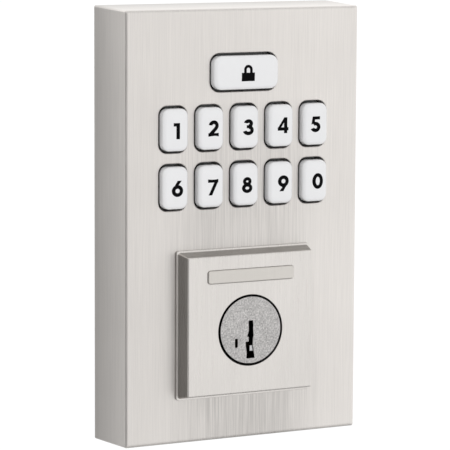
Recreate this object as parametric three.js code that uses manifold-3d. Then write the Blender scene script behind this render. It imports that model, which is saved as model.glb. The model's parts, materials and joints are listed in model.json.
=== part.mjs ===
// Keypad smart lock, outdoor half: a push-button keypad above a key cylinder, for a door with a cross bore.
// Millimetres. X is to the right as the lock is faced, +Y runs into the door and +Z is up.
// The origin is where the key cylinder's axis meets the door's face.

import * as THREE from 'three';
import { mergeVertices } from 'three/addons/utils/BufferGeometryUtils.js';
import Module from 'manifold-3d';

// ---------------------------------------------------------------- driving dimensions

const FIT = 0.1; // clearance between pieces that rest on or slide along each other
const REACH = 2; // how far a cutting tool runs past the face that it opens

// Front housing: a shallow die-cast box, open at the back, whose sides widen towards the door.
const BODY_WIDTH = 70;
const BODY_HEIGHT = 116.5;
const BODY_DEPTH = 18.3;
const BODY_DRAFT = 0.62;
const BODY_EDGE = { inset: 0.8, drop: 0.4 };
const BODY_CORNER = 0.5;
const BODY_CENTRE_Z = 28;
const FRONT_WALL = 2.5;
const SIDE_WALL = 2.1;
const FRONT_Y = -BODY_DEPTH;
const FRONT_INNER_Y = FRONT_Y + FRONT_WALL;
const CAVITY_CORNER = 1;

// Keypad: two rows of five digits under one wide lock button.
const KEY_PITCH = 10.55;
const ROW_Z = [54.55, 39.1];
const KEY_OPENING = { width: 8.3, height: 12.6, radius: 2.45 };
const LOCK_OPENING = { width: 20.2, height: 10.35, radius: 2.8 };
const LOCK_Z = 69.2;
const CAP_GAP = { x: 0.45, z: 0.65 };
const CAP_PROUD = 2.4;
const CAP_EDGE = 1.2;
const CAP_FLANGE = 0.5;
const CAP_FLANGE_THICK = 1;
const CAP_TRAVEL = 1.2;
const CAP_EDGE_STEPS = 3;

// Silicone sheet, circuit board and back plate, stacked behind the keys.
const BOARD = { width: 59, bottom: 20, top: 77, front: -12, thick: 1.6 };
const SHEET = { width: 50, bottom: 31, top: 76.2, thick: 0.8 };
const DOME_BASE = 3.3;
const DOME_TOP = 2.4;
const DOME_WALL = 0.6;
const DOME_SIDES = 12;
const PILL = { radius: 1.1, sides: 8 };
const LAMP = { x: 5, half: 0.8, halfHeight: 0.5, proud: 0.65, window: 0.6 };
const CHIP = { x: [8, 17], z: [53, 62], thick: 1.2 };
const SOUNDER = { at: [-15, 60], radius: 6, thick: 3 };
const HEADER = { width: 12, z: [23.5, 28.5], thick: 5.3, wall: 1.1 };
const PLATE = { front: -3.6, thick: 1.6, gap: 0.2, leg: 1.8 };
const CABLE_OUTLET = { width: 14, height: 7, radius: 1.5, z: 18.5 };
const GASKET_WIDTH = 4;
const BOARD_POST_RADIUS = 1.6;
const BOARD_POST_X = 27.6;
const BOARD_POST_Z = [22.5, 74.5];
const PLATE_SCREW_X = 29.6;
const PLATE_SCREW_Z = [80.6, -24.6];
const PLATE_SCREW = { head: 2.5, neck: 1.4, shank: 1.3, tipY: -12.6, boss: 3.2 };
const PLATE_SCREW_SLOT = { half: 2.2, wide: 0.6, deep: 0.7 };

// Square trim round the cylinder.
const TRIM_SIDE = 37.7;
const TRIM_TAPER = 0.92;
const TRIM_FOOT = { wide: 0.47, thick: 0.6, fall: 0.1 };
const TRIM_CHAMFER = 0.45;
const TRIM_CORNER = 0.8;
const TRIM_HEIGHT = 4.8;
const TRIM_CENTRE_Z = 1.75;
const TRIM_LIP = 1.5;
const TRIM_BORE = 9.7;
const TRIM_FRONT_Y = FRONT_Y - TRIM_HEIGHT;
const BADGE = { width: 26, height: 3.6, radius: 0.8, z: 15, proud: 0.4, sunk: 0.4, edge: 0.25 };

// Key cylinder: a plug that turns in a barrel, with side-cut pins read through a narrow keyway.
const PLUG_RADIUS = 9.08;
const PLUG_REAR_Y = 4.6;
const COLLAR_RADIUS = 10.4;
const COLLAR_THICK = 1.3;
const BARREL_RADIUS = 12;
const BARREL_REAR_Y = 2.4;
const RUNNING_CLEARANCE = 0.1;
const PIN_COUNT = 5;
const PIN_PITCH = 3.81;
const FIRST_PIN = 6.3;
const PIN_LIFT = 3.2;
const TURN_SIDES = 48;
const SMALL_SIDES = 12;
const FLANGE = { width: 18, height: 38, radius: 6, back: -13.2 };
const CYLINDER_SCREW = { z: 14.8, hole: 1.6, shank: 1.4, head: 2.6, headThick: 2, tipY: -21 };
const CYLINDER_SCREW_SLOT = { wide: 0.8, deep: 0.8 };

// Fixing to the door.
const POST_X = 21.5;
const POST_RADIUS = 4;
const POST_END_Y = 14;
const POST_BOSS = { radius: 5, end: -9 };
const POST_SPIGOT = { radius: 2.5, tipY: -14.5 };
const POST_TAP_RADIUS = 2.1;
const BLADE_END_Y = 58;
const BLADE_DISC = { radius: 6.8, y: [3.3, 4.5] };
const BLADE_SCREW = { at: [[-4, 4], [4, -4]], head: 1.4, headThick: 0.9, shank: 0.7, hole: 0.85, tipY: 1 };

// ---------------------------------------------------------------- materials

function finish(color, roughness, metalness) {
  return new THREE.MeshStandardMaterial({ color, roughness, metalness });
}

const FINISHES = {
  nickel: () => finish(0xdad6d1, 0.42, 1),
  faceNickel: () => finish(0xb4aeaa, 0.6, 1),
  cap: () => finish(0xe8e8e9, 0.25, 0),
  silicone: () => finish(0xcfd2d0, 0.6, 0),
  board: () => finish(0x1f5a38, 0.5, 0),
  black: () => finish(0x1c1c1e, 0.45, 0),
  lamp: () => finish(0xf2efd8, 0.3, 0),
  steel: () => finish(0x9b9c9e, 0.35, 1),
  zinc: () => finish(0xa9abad, 0.5, 1),
  brass: () => finish(0xb8985a, 0.35, 1),
  foam: () => finish(0x2a2a2b, 0.9, 0),
};

// ---------------------------------------------------------------- solid modelling helpers

const wasm = await Module();
wasm.setup();

function solid(geometry) {
  const bare = geometry.clone();
  bare.deleteAttribute('normal');
  bare.deleteAttribute('uv');
  const merged = mergeVertices(bare);
  return new wasm.Manifold(new wasm.Mesh({
    numProp: 3,
    vertProperties: new Float32Array(merged.attributes.position.array),
    triVerts: new Uint32Array(merged.index.array),
  }));
}

function joined(first, ...others) {
  return others.reduce((whole, piece) => whole.add(piece), first);
}

function cut(whole, ...tools) {
  return tools.reduce((rest, tool) => rest.subtract(tool), whole);
}

function toGeometry(body) {
  const { vertProperties, triVerts } = body.getMesh();
  const geometry = new THREE.BufferGeometry();
  geometry.setAttribute('position', new THREE.BufferAttribute(vertProperties, 3));
  geometry.setIndex(new THREE.BufferAttribute(triVerts, 1));
  geometry.computeVertexNormals();
  return geometry;
}

// The limits of a length centred on a point.
function around(centre, half) {
  return [centre - half, centre + half];
}

// A pair of limits, each moved outwards by a gap.
function eased([low, high], gap = FIT) {
  return [low - gap, high + gap];
}

// A box between two corners.
function block([x0, x1], [y0, y1], [z0, z1]) {
  const geometry = new THREE.BoxGeometry(x1 - x0, y1 - y0, z1 - z0);
  geometry.translate((x0 + x1) / 2, (y0 + y1) / 2, (z0 + z1) / 2);
  return solid(geometry);
}

// A rod or cone along Y from the front to the back.
function rod(radius, [yFront, yBack], [x, z] = [0, 0], { sides = 20, backRadius = radius } = {}) {
  const geometry = new THREE.CylinderGeometry(backRadius, radius, yBack - yFront, sides);
  geometry.translate(x, (yFront + yBack) / 2, z);
  return solid(geometry);
}

// The corner-to-corner outline of a rounded rectangle, counter-clockwise in X and Z.
function outline({ width, height, radius, x = 0, z = 0 }, steps = 3) {
  const points = [];
  for (let corner = 0; corner < 4; corner += 1) {
    const signX = corner === 0 || corner === 3 ? 1 : -1;
    const signZ = corner < 2 ? 1 : -1;
    for (let step = 0; step <= steps; step += 1) {
      const angle = (corner + step / steps) * (Math.PI / 2);
      points.push(new THREE.Vector2(
        x + signX * (width / 2 - radius) + radius * Math.cos(angle),
        z + signZ * (height / 2 - radius) + radius * Math.sin(angle),
      ));
    }
  }
  return points;
}

// An outline in X and Z carried along Y.
function plate(points, [yFront, yBack]) {
  const geometry = new THREE.ExtrudeGeometry(new THREE.Shape(points), {
    depth: yBack - yFront,
    bevelEnabled: false,
  });
  geometry.rotateX(Math.PI / 2);
  geometry.translate(0, yBack, 0);
  return solid(geometry);
}

// A solid through a series of outlines with the same number of points, from the back to the front.
function loft(sections) {
  const rings = sections.map(({ y, points }) => points.map((p) => [p.x, y, p.y]));
  const count = rings[0].length;
  const index = [];
  for (let ring = 0; ring + 1 < rings.length; ring += 1) {
    for (let i = 0; i < count; i += 1) {
      const a = ring * count + i;
      const b = ring * count + ((i + 1) % count);
      index.push(a, b, b + count, a, b + count, a + count);
    }
  }
  const last = (rings.length - 1) * count;
  for (const [a, b, c] of THREE.ShapeUtils.triangulateShape(sections[0].points, [])) {
    index.push(a, c, b);
    index.push(last + a, last + b, last + c);
  }
  const geometry = new THREE.BufferGeometry();
  geometry.setAttribute('position', new THREE.Float32BufferAttribute(rings.flat(2), 3));
  geometry.setIndex(index);
  return solid(geometry);
}

// A coil spring of round wire along one axis, between two seats.
function coil({ along, from, to, centre, radius, wire, turns }) {
  const stepsPerTurn = 8;
  const wireSides = 5;
  const steps = turns * stepsPerTurn;
  const points = [];
  for (let step = 0; step <= steps; step += 1) {
    const angle = (step / stepsPerTurn) * Math.PI * 2;
    const run = from + wire + (to - from - 2 * wire) * (step / steps);
    const side = radius * Math.cos(angle);
    const rise = radius * Math.sin(angle);
    const places = {
      x: [run, centre[0] + side, centre[1] + rise],
      y: [centre[0] + side, run, centre[1] + rise],
      z: [centre[0] + side, centre[1] + rise, run],
    };
    points.push(new THREE.Vector3(...places[along]));
  }
  const section = new THREE.Shape(
    Array.from({ length: wireSides }, (_, i) => {
      const angle = (i / wireSides) * Math.PI * 2;
      return new THREE.Vector2(wire * Math.cos(angle), wire * Math.sin(angle));
    }),
  );
  return new THREE.ExtrudeGeometry(section, {
    steps,
    extrudePath: new THREE.CatmullRomCurve3(points),
    bevelEnabled: false,
  });
}

// ---------------------------------------------------------------- the object

const lock = new THREE.Group();

function place(name, shape, material) {
  const geometry = shape.isBufferGeometry ? shape : toGeometry(shape);
  const mesh = new THREE.Mesh(geometry, FINISHES[material]());
  mesh.name = name;
  lock.add(mesh);
}

// Every key's name, centre and opening.
const KEYS = [{ name: 'button_lock', x: 0, z: LOCK_Z, opening: LOCK_OPENING }];
ROW_Z.forEach((z, row) => {
  for (let column = 0; column < 5; column += 1) {
    const digit = (row * 5 + column + 1) % 10;
    KEYS.push({ name: `button_${digit}`, x: (column - 2) * KEY_PITCH, z, opening: KEY_OPENING });
  }
});

const PLATE_SCREWS = [-1, 1].flatMap((side) => (
  PLATE_SCREW_Z.map((z) => [side * PLATE_SCREW_X, z])
));
const BOARD_POSTS = [-1, 1].flatMap((side) => (
  BOARD_POST_Z.map((z) => [side * BOARD_POST_X, z])
));
const CYLINDER_SCREWS = [[0, CYLINDER_SCREW.z], [0, -CYLINDER_SCREW.z]];
const POSTS = [[-POST_X, 0], [POST_X, 0]];
const PIN_YS = Array.from({ length: PIN_COUNT }, (_, i) => TRIM_FRONT_Y + FIRST_PIN + i * PIN_PITCH);
const TRIM_BACK_Y = FRONT_Y - FIT;
const LIP_BACK_Y = TRIM_FRONT_Y + TRIM_LIP;
const PLATE_BACK_Y = PLATE.front + PLATE.thick;
const BOARD_BACK_Y = BOARD.front + BOARD.thick;

// A rounded rectangle centred on the housing's face, smaller than its front outline by an inset.
function bodyOutline(inset, radius) {
  return outline({
    width: BODY_WIDTH - 2 * inset,
    height: BODY_HEIGHT - 2 * inset,
    radius,
    z: BODY_CENTRE_Z,
  });
}

function frontHousing() {
  const draftAtEdge = (BODY_DRAFT * BODY_EDGE.drop) / BODY_DEPTH;
  const shell = loft([
    { y: 0, points: bodyOutline(-BODY_DRAFT, BODY_CORNER) },
    { y: FRONT_Y + BODY_EDGE.drop, points: bodyOutline(-draftAtEdge, BODY_CORNER) },
    { y: FRONT_Y, points: bodyOutline(BODY_EDGE.inset, BODY_CORNER) },
  ]);
  const cavity = plate(bodyOutline(SIDE_WALL, CAVITY_CORNER), [FRONT_INNER_Y, REACH]);
  const throughWall = [FRONT_Y - REACH, FRONT_INNER_Y + REACH];
  const keyOpenings = KEYS.map(({ x, z, opening }) => (
    plate(outline({ ...opening, x, z }, 4), throughWall)
  ));
  const cylinderOpening = rod(BARREL_RADIUS + 2 * FIT, throughWall, [0, 0], { sides: TURN_SIDES });
  const inFrontWall = FRONT_INNER_Y - FRONT_WALL / 2;
  const screwBosses = PLATE_SCREWS.map((at) => rod(PLATE_SCREW.boss, [inFrontWall, PLATE.front - FIT], at));
  const boardPosts = BOARD_POSTS.map((at) => (
    rod(BOARD_POST_RADIUS, [inFrontWall, BOARD.front - FIT], at, { sides: SMALL_SIDES })
  ));
  const postBosses = POSTS.map((at) => rod(POST_BOSS.radius, [inFrontWall, POST_BOSS.end], at));
  const screwHoles = PLATE_SCREWS.map((at) => (
    rod(PLATE_SCREW.shank + 1.5 * FIT, [PLATE_SCREW.tipY - 6 * FIT, 0], at, { sides: SMALL_SIDES })
  ));
  const spigotHoles = POSTS.map((at) => (
    rod(POST_SPIGOT.radius + 2 * FIT, [POST_SPIGOT.tipY - 2 * FIT, 0], at)
  ));
  const trimScrewHoles = CYLINDER_SCREWS.map((at) => (
    rod(CYLINDER_SCREW.hole, throughWall, at, { sides: SMALL_SIDES })
  ));
  const filled = joined(cut(shell, cavity), ...screwBosses, ...boardPosts, ...postBosses);
  return cut(filled, ...keyOpenings, cylinderOpening, ...screwHoles, ...spigotHoles, ...trimScrewHoles);
}

// A cap with a rounded front edge and a flange behind the housing's front wall.
function keyCap({ x, z, opening }) {
  const width = opening.width - 2 * CAP_GAP.x;
  const height = opening.height - 2 * CAP_GAP.z;
  const radius = opening.radius - CAP_GAP.x;
  const front = FRONT_Y - CAP_PROUD;
  const flangeFront = FRONT_INNER_Y + FIT;
  const ring = (inset) => outline({
    width: width - 2 * inset,
    height: height - 2 * inset,
    radius: radius - inset / 2,
    x,
    z,
  });
  const sections = [{ y: flangeFront + CAP_FLANGE_THICK / 2, points: ring(0) }];
  for (let step = 0; step <= CAP_EDGE_STEPS; step += 1) {
    const angle = (step / CAP_EDGE_STEPS) * (Math.PI / 2);
    sections.push({
      y: front + CAP_EDGE * (1 - Math.sin(angle)),
      points: ring(CAP_EDGE * (1 - Math.cos(angle))),
    });
  }
  const flange = plate(outline({
    width: opening.width + 2 * CAP_FLANGE,
    height: opening.height + 2 * CAP_FLANGE,
    radius: opening.radius + CAP_FLANGE,
    x,
    z,
  }, 2), [flangeFront, flangeFront + CAP_FLANGE_THICK]);
  return joined(loft(sections), flange);
}

// One silicone sheet with a hollow dome and a contact pill under each key, and a window at each lamp.
function keypadMembrane() {
  const back = BOARD.front - FIT;
  const front = back - SHEET.thick;
  const domeTop = FRONT_INNER_Y + FIT + CAP_FLANGE_THICK + FIT;
  const ceiling = domeTop + DOME_WALL;
  const sheet = block([-SHEET.width / 2, SHEET.width / 2], [front, back], [SHEET.bottom, SHEET.top]);
  const domes = KEYS.map(({ x, z }) => (
    rod(DOME_TOP, [domeTop, (front + back) / 2], [x, z], { sides: DOME_SIDES, backRadius: DOME_BASE })
  ));
  const hollows = KEYS.map(({ x, z }) => rod(DOME_TOP - DOME_WALL, [ceiling, back + REACH], [x, z], {
    sides: DOME_SIDES,
    backRadius: DOME_BASE - DOME_WALL,
  }));
  const pills = KEYS.map(({ x, z }) => (
    rod(PILL.radius, [domeTop + DOME_WALL / 2, back - CAP_TRAVEL], [x, z], { sides: PILL.sides })
  ));
  const windowHalf = LAMP.half + LAMP.window;
  const windowHeight = LAMP.halfHeight + LAMP.window;
  const lampWindows = [-LAMP.x, LAMP.x].map((x) => block(
    [x - windowHalf, x + windowHalf],
    [front - REACH, back + REACH],
    [LOCK_Z - windowHeight, LOCK_Z + windowHeight],
  ));
  return joined(cut(joined(sheet, ...domes), ...hollows, ...lampWindows), ...pills);
}

function statusLamp(x) {
  return block(
    [x - LAMP.half, x + LAMP.half],
    [BOARD.front - LAMP.proud, BOARD.front - FIT / 2],
    [LOCK_Z - LAMP.halfHeight, LOCK_Z + LAMP.halfHeight],
  );
}

function circuitBoard() {
  return block([-BOARD.width / 2, BOARD.width / 2], [BOARD.front, BOARD_BACK_Y], [BOARD.bottom, BOARD.top]);
}

// The parts soldered to the board's back stand a little off it.
const ON_BOARD_Y = BOARD_BACK_Y + FIT;

function controlChip() {
  return block(CHIP.x, [ON_BOARD_Y, ON_BOARD_Y + CHIP.thick], CHIP.z);
}

function sounder() {
  return rod(SOUNDER.radius, [ON_BOARD_Y, ON_BOARD_Y + SOUNDER.thick], SOUNDER.at);
}

// The socket for the cable from the indoor half, open at its lower side.
function cableHeader() {
  const half = HEADER.width / 2;
  const ends = [ON_BOARD_Y, ON_BOARD_Y + HEADER.thick];
  const socket = block(
    [-half + HEADER.wall, half - HEADER.wall],
    [ends[0] + HEADER.wall, ends[1] - HEADER.wall],
    [HEADER.z[0] - REACH, HEADER.z[1] - HEADER.wall],
  );
  return cut(block([-half, half], ends, HEADER.z), socket);
}

// The steel plate that closes the housing, with legs that press the circuit board forwards.
function backPlate() {
  const through = [PLATE.front - REACH, REACH];
  const sheet = plate(bodyOutline(SIDE_WALL + PLATE.gap, CAVITY_CORNER), [PLATE.front, PLATE_BACK_Y]);
  const legs = BOARD_POSTS.map((at) => (
    rod(PLATE.leg, [ON_BOARD_Y, PLATE_BACK_Y - FIT], at, { sides: SMALL_SIDES })
  ));
  const barrelHole = rod(BARREL_RADIUS + 2 * PLATE.gap, through, [0, 0], { sides: 32 });
  const postHoles = POSTS.map((at) => rod(POST_RADIUS + 2 * PLATE.gap, through, at));
  const cableOutlet = plate(outline(CABLE_OUTLET), through);
  const sinks = PLATE_SCREWS.map((at) => (
    rod(PLATE_SCREW.neck + PLATE.gap, [PLATE.front - FIT, PLATE_BACK_Y], at, {
      sides: 16,
      backRadius: PLATE_SCREW.head + 3 * FIT,
    })
  ));
  return cut(joined(sheet, ...legs), barrelHole, ...postHoles, cableOutlet, ...sinks);
}

// A countersunk screw, flush with the back plate.
function plateScrew(at) {
  const { head, neck, shank, tipY } = PLATE_SCREW;
  const { half, wide, deep } = PLATE_SCREW_SLOT;
  const cone = rod(neck, [PLATE.front + FIT, PLATE_BACK_Y - FIT], at, { sides: 16, backRadius: head });
  const stem = rod(shank, [tipY, PLATE.front + 2 * FIT], at, { sides: SMALL_SIDES });
  const slot = block(
    around(at[0], half),
    [PLATE_BACK_Y - deep, REACH],
    around(at[1], wide / 2),
  );
  return cut(joined(cone, stem), slot);
}

// The foam ring that meets the door round the edge of the housing.
function weatherGasket() {
  const inset = SIDE_WALL + 3 * FIT;
  const outer = plate(bodyOutline(inset, CAVITY_CORNER), [PLATE_BACK_Y + FIT, 0]);
  return cut(outer, plate(bodyOutline(inset + GASKET_WIDTH, CAVITY_CORNER), [PLATE_BACK_Y - REACH, REACH]));
}

// The raised square round the cylinder: a thin flange, tapered sides and a chamfered face.
function cylinderTrim() {
  const square = (side) => outline({ width: side, height: side, radius: TRIM_CORNER, z: TRIM_CENTRE_Z });
  const wallBase = TRIM_SIDE + 2 * TRIM_TAPER;
  const footSide = wallBase + 2 * TRIM_FOOT.wide;
  const body = loft([
    { y: TRIM_BACK_Y, points: square(footSide) },
    { y: TRIM_BACK_Y - TRIM_FOOT.thick + TRIM_FOOT.fall, points: square(footSide) },
    { y: TRIM_BACK_Y - TRIM_FOOT.thick, points: square(wallBase) },
    { y: TRIM_FRONT_Y + TRIM_CHAMFER, points: square(TRIM_SIDE) },
    { y: TRIM_FRONT_Y, points: square(TRIM_SIDE - 2 * TRIM_CHAMFER) },
  ]);
  const round = { sides: TURN_SIDES };
  const lipBore = rod(TRIM_BORE, [TRIM_FRONT_Y - REACH, FRONT_Y], [0, 0], round);
  const barrelBore = rod(BARREL_RADIUS + 3 * FIT, [LIP_BACK_Y, FRONT_Y + REACH], [0, 0], round);
  const screwHoles = CYLINDER_SCREWS.map((at) => (
    rod(CYLINDER_SCREW.hole, [CYLINDER_SCREW.tipY - 4 * FIT, FRONT_Y + REACH], at, { sides: SMALL_SIDES })
  ));
  const badgeSeat = plate(
    outline({ ...BADGE, width: BADGE.width + 2 * FIT, height: BADGE.height + 2 * FIT }),
    [TRIM_FRONT_Y - REACH, TRIM_FRONT_Y + BADGE.sunk + FIT],
  );
  return cut(body, lipBore, barrelBore, ...screwHoles, badgeSeat);
}

// A blank bar set into the trim's face.
function nameBadge() {
  const { width, height, edge } = BADGE;
  const smaller = { ...BADGE, width: width - 2 * edge, height: height - 2 * edge };
  return loft([
    { y: TRIM_FRONT_Y + BADGE.sunk, points: outline(BADGE) },
    { y: TRIM_FRONT_Y - BADGE.proud + edge, points: outline(BADGE) },
    { y: TRIM_FRONT_Y - BADGE.proud, points: outline(smaller) },
  ]);
}

// The locking bar's groove in the barrel, from inside the bore to the groove's flat bottom.
const BAR_GROOVE = [[8.6, -1.25], [9.75, -0.1], [9.75, 0.1], [8.6, 1.25]];
const GROOVE_QUARTERS = [0, 1, 3];

// The barrel with the flange that clamps it, through the front wall, to the trim.
function cylinderHousing() {
  const collarBack = LIP_BACK_Y + FIT + COLLAR_THICK;
  const ends = [collarBack + FIT, BARREL_REAR_Y];
  const through = [ends[0] - REACH, ends[1] + REACH];
  const barrel = rod(BARREL_RADIUS, ends, [0, 0], { sides: TURN_SIDES });
  const flange = plate(outline(FLANGE, 4), [FRONT_INNER_Y + FIT, FLANGE.back]);
  const bore = rod(PLUG_RADIUS + RUNNING_CLEARANCE, through, [0, 0], { sides: TURN_SIDES });
  const screwHoles = CYLINDER_SCREWS.map((at) => (
    rod(CYLINDER_SCREW.hole, [FRONT_INNER_Y, FLANGE.back + REACH], at, { sides: SMALL_SIDES })
  ));
  const grooves = GROOVE_QUARTERS.map((quarter) => {
    const angle = quarter * (Math.PI / 2);
    const points = BAR_GROOVE.map(([x, z]) => (
      new THREE.Vector2(x, z).rotateAround(new THREE.Vector2(), angle)
    ));
    return plate(points, through);
  });
  return cut(joined(barrel, flange), bore, ...screwHoles, ...grooves);
}

function cylinderScrew(at) {
  const { head, headThick, shank, tipY } = CYLINDER_SCREW;
  const { wide, deep } = CYLINDER_SCREW_SLOT;
  const seat = FLANGE.back + FIT;
  const top = seat + headThick;
  const slot = block(
    around(at[0], wide / 2),
    [top - deep, top + REACH],
    around(at[1], head + FIT),
  );
  const stem = rod(shank, [tipY, seat + FIT], at, { sides: SMALL_SIDES });
  return cut(joined(rod(head, [seat, top], at), stem), slot);
}

// The keyway's outline on the plug's face: a narrow slot that steps out towards its foot.
const KEYWAY = [
  [0.67, 2.6], [-0.65, 2.6], [-0.56, -0.3], [-1.05, -1.75], [-0.57, -1.95], [-0.57, -3.1],
  [-1.5, -3.15], [-1.45, -4.5], [-1.2, -5.8], [-1.22, -7.75], [1.27, -7.75], [1, -5.9],
  [0.66, -4.1], [0.75, -2.4], [0.95, -1.5], [0.8, 0.1], [0.85, 1.4],
].map(([x, z]) => new THREE.Vector2(x, z));

// A small hardened block that stands out from the keyway's right wall, just inside its mouth.
const GUARD = { x: [-0.05, 2.6], y: [TRIM_FRONT_Y + 0.35, TRIM_FRONT_Y + 1], z: [-5.75, -4.3] };

// The pin stems and racks stand side by side to the right of the keyway.
const STEM_X = [1.4, 3.5];
const RACK_X = [3.6, 4.9];
const STEM_Z = [-5.6, 0.9];
const FINGER_X = [-0.5, 1.8];
const FINGER_Z = [-5.6, -4.1];
const PIN_HALF = 1.2;
const FINGER_HALF = 0.55;
const GATE_HALF = 0.5;
const GATE_HEIGHTS = [-1.6, -3.4, -2.2, -4, -2.8];
const SPRING_TOP_Z = 7;
const PIN_SPRING = { radius: 0.75, wire: 0.18, turns: 4 };

// The locking bar's wedge, its legs and the two springs behind it.
const BAR_NOSE = [[5.55, -0.8], [8.15, -0.8], [8.9, -0.1], [8.9, 0.1], [8.15, 0.8], [5.55, 0.8]];
const BAR_LEG = { x: [5.1, 5.8], half: 0.4, halfHeight: 0.45 };
const BAR_SLOT = { x: 5.3, half: 0.95 };
const SIDEBAR_Y = [-19.9, 1.7];
const SIDEBAR_SPRING_YS = [-19.05, 0.75];
const SIDEBAR_SPRING = { from: 3.2, to: 5.45, radius: 0.5, wire: 0.14, turns: 3 };
const SIDEBAR_SPRING_HOLE = { radius: 0.8, length: 2.4, x: 4.3 };

const TOOL_SLOT = { width: 0.9, height: 2.5, radius: 0.35, x: -4.3, z: -3.35 };
const CARRIER = { x: [-6.4, -2.8], y: [-20.4, -6], z: [-5, -1] };
const CARRIER_SPRING = { to: 3.2, centre: [-4.6, -3], radius: 1.3, wire: 0.2, turns: 5 };
const CLIP = { y: [2.6, 3.6], inner: 7.95, outer: 10.8, opening: 0.45, steps: 28 };
const COVER_Y = [-18.8, 0.3];
const PLUG_SEAT = { radius: 7, y: 3.2 };

function keyPlug() {
  const collarFront = LIP_BACK_Y + FIT;
  const body = joined(
    rod(PLUG_RADIUS, [TRIM_FRONT_Y, PLUG_REAR_Y], [0, 0], { sides: TURN_SIDES }),
    rod(COLLAR_RADIUS, [collarFront, collarFront + COLLAR_THICK], [0, 0], { sides: TURN_SIDES }),
  );
  const clipGroove = cut(
    rod(PLUG_RADIUS + 1, eased(CLIP.y), [0, 0], { sides: TURN_SIDES }),
    rod(CLIP.inner - 1.5 * FIT, eased(CLIP.y, REACH), [0, 0], { sides: TURN_SIDES }),
  );
  const keyway = plate(KEYWAY, [TRIM_FRONT_Y - REACH, PLUG_REAR_Y + REACH]);
  const guardSeat = block([GUARD.x[0], GUARD.x[1] + FIT], eased(GUARD.y), eased(GUARD.z));
  const toolSlot = plate(outline(TOOL_SLOT), [TRIM_FRONT_Y - REACH, CARRIER.y[0]]);
  const carrierPocket = block(
    eased(CARRIER.x),
    [CARRIER.y[0] - FIT, PLUG_REAR_Y + REACH],
    eased(CARRIER.z),
  );
  const chambers = PIN_YS.flatMap((y) => [
    block(
      [STEM_X[0] - FIT, RACK_X[1] + FIT],
      around(y, PIN_HALF + FIT),
      [STEM_Z[0] - 4 * FIT, SPRING_TOP_Z + FIT],
    ),
    block(
      [0, STEM_X[0]],
      around(y, FINGER_HALF + 1.5 * FIT),
      [FINGER_Z[0] - 1.5 * FIT, FINGER_Z[1] + PIN_LIFT + 2 * FIT],
    ),
    block(
      [RACK_X[1], BAR_SLOT.x + FIT],
      around(y, BAR_LEG.half + FIT),
      around(0, BAR_LEG.halfHeight + 1.5 * FIT),
    ),
  ]);
  const coverGroove = block(
    [STEM_X[0] - FIT, RACK_X[1] + FIT],
    eased(COVER_Y),
    [SPRING_TOP_Z, PLUG_RADIUS + REACH],
  );
  const sidebarSlot = block([BAR_SLOT.x, PLUG_RADIUS + REACH], eased(SIDEBAR_Y), around(0, BAR_SLOT.half));
  const springHoles = SIDEBAR_SPRING_YS.map((y) => {
    const { radius, length, x } = SIDEBAR_SPRING_HOLE;
    const hole = new THREE.CylinderGeometry(radius, radius, length, SMALL_SIDES);
    return solid(hole.rotateZ(Math.PI / 2).translate(x, y, 0));
  });
  const bladeSeat = rod(PLUG_SEAT.radius, [PLUG_SEAT.y, PLUG_REAR_Y + REACH], [0, 0], { sides: 32 });
  const bladeScrewHoles = BLADE_SCREW.at.map((at) => (
    rod(BLADE_SCREW.hole, [BLADE_SCREW.tipY - 2 * FIT, PLUG_REAR_Y], at, { sides: SMALL_SIDES })
  ));
  return cut(
    body, clipGroove, keyway, guardSeat, toolSlot, carrierPocket, ...chambers, coverGroove,
    sidebarSlot, ...springHoles, bladeSeat, ...bladeScrewHoles,
  );
}

// A pin: a stem beside the keyway, with a finger across it that the key's cuts lift.
function keyPin(y) {
  return joined(
    block(STEM_X, around(y, PIN_HALF), STEM_Z),
    block(FINGER_X, around(y, FINGER_HALF), FINGER_Z),
  );
}

// A rack rises with its pin, and the gate in its outer side takes the sidebar's leg.
function rack(y, gateZ) {
  return cut(
    block(RACK_X, around(y, PIN_HALF), STEM_Z),
    block([RACK_X[1] - GATE_HALF, RACK_X[1] + 1], around(y, REACH), around(gateZ, GATE_HALF)),
  );
}

// The locking bar: a wedge nose for the barrel's groove, and a leg for each rack's gate.
function sidebar() {
  const bar = plate(BAR_NOSE.map(([x, z]) => new THREE.Vector2(x, z)), SIDEBAR_Y);
  const legs = PIN_YS.map((y) => block(BAR_LEG.x, around(y, BAR_LEG.half), around(0, BAR_LEG.halfHeight)));
  return joined(bar, ...legs);
}

// The strip that closes the spring chambers, its top following the plug's round.
function pinCover() {
  const strip = block([STEM_X[0], RACK_X[1]], COVER_Y, [SPRING_TOP_Z + FIT, PLUG_RADIUS]);
  return strip.intersect(rod(PLUG_RADIUS - FIT / 2, eased(COVER_Y, REACH), [0, 0], { sides: TURN_SIDES }));
}

// A spring clip, open at the bottom, that keeps the plug in the barrel.
function cylinderClip() {
  const arc = (radius, reverse) => Array.from({ length: CLIP.steps + 1 }, (_, i) => {
    const share = reverse ? 1 - i / CLIP.steps : i / CLIP.steps;
    const angle = -Math.PI / 2 + CLIP.opening + share * 2 * (Math.PI - CLIP.opening);
    return new THREE.Vector2(radius * Math.cos(angle), radius * Math.sin(angle));
  });
  return plate([...arc(CLIP.outer, false), ...arc(CLIP.inner, true)], CLIP.y);
}

// The blade's section: a flat underside and a rounded back.
const BLADE_SECTION = [
  [3.1, -1.5], [3.05, -0.9], [2.7, 0.05], [2.1, 0.8], [1.2, 1.35], [0, 1.55],
  [-1.2, 1.35], [-2.1, 0.8], [-2.7, 0.05], [-3.05, -0.9], [-3.1, -1.5],
];

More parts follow.
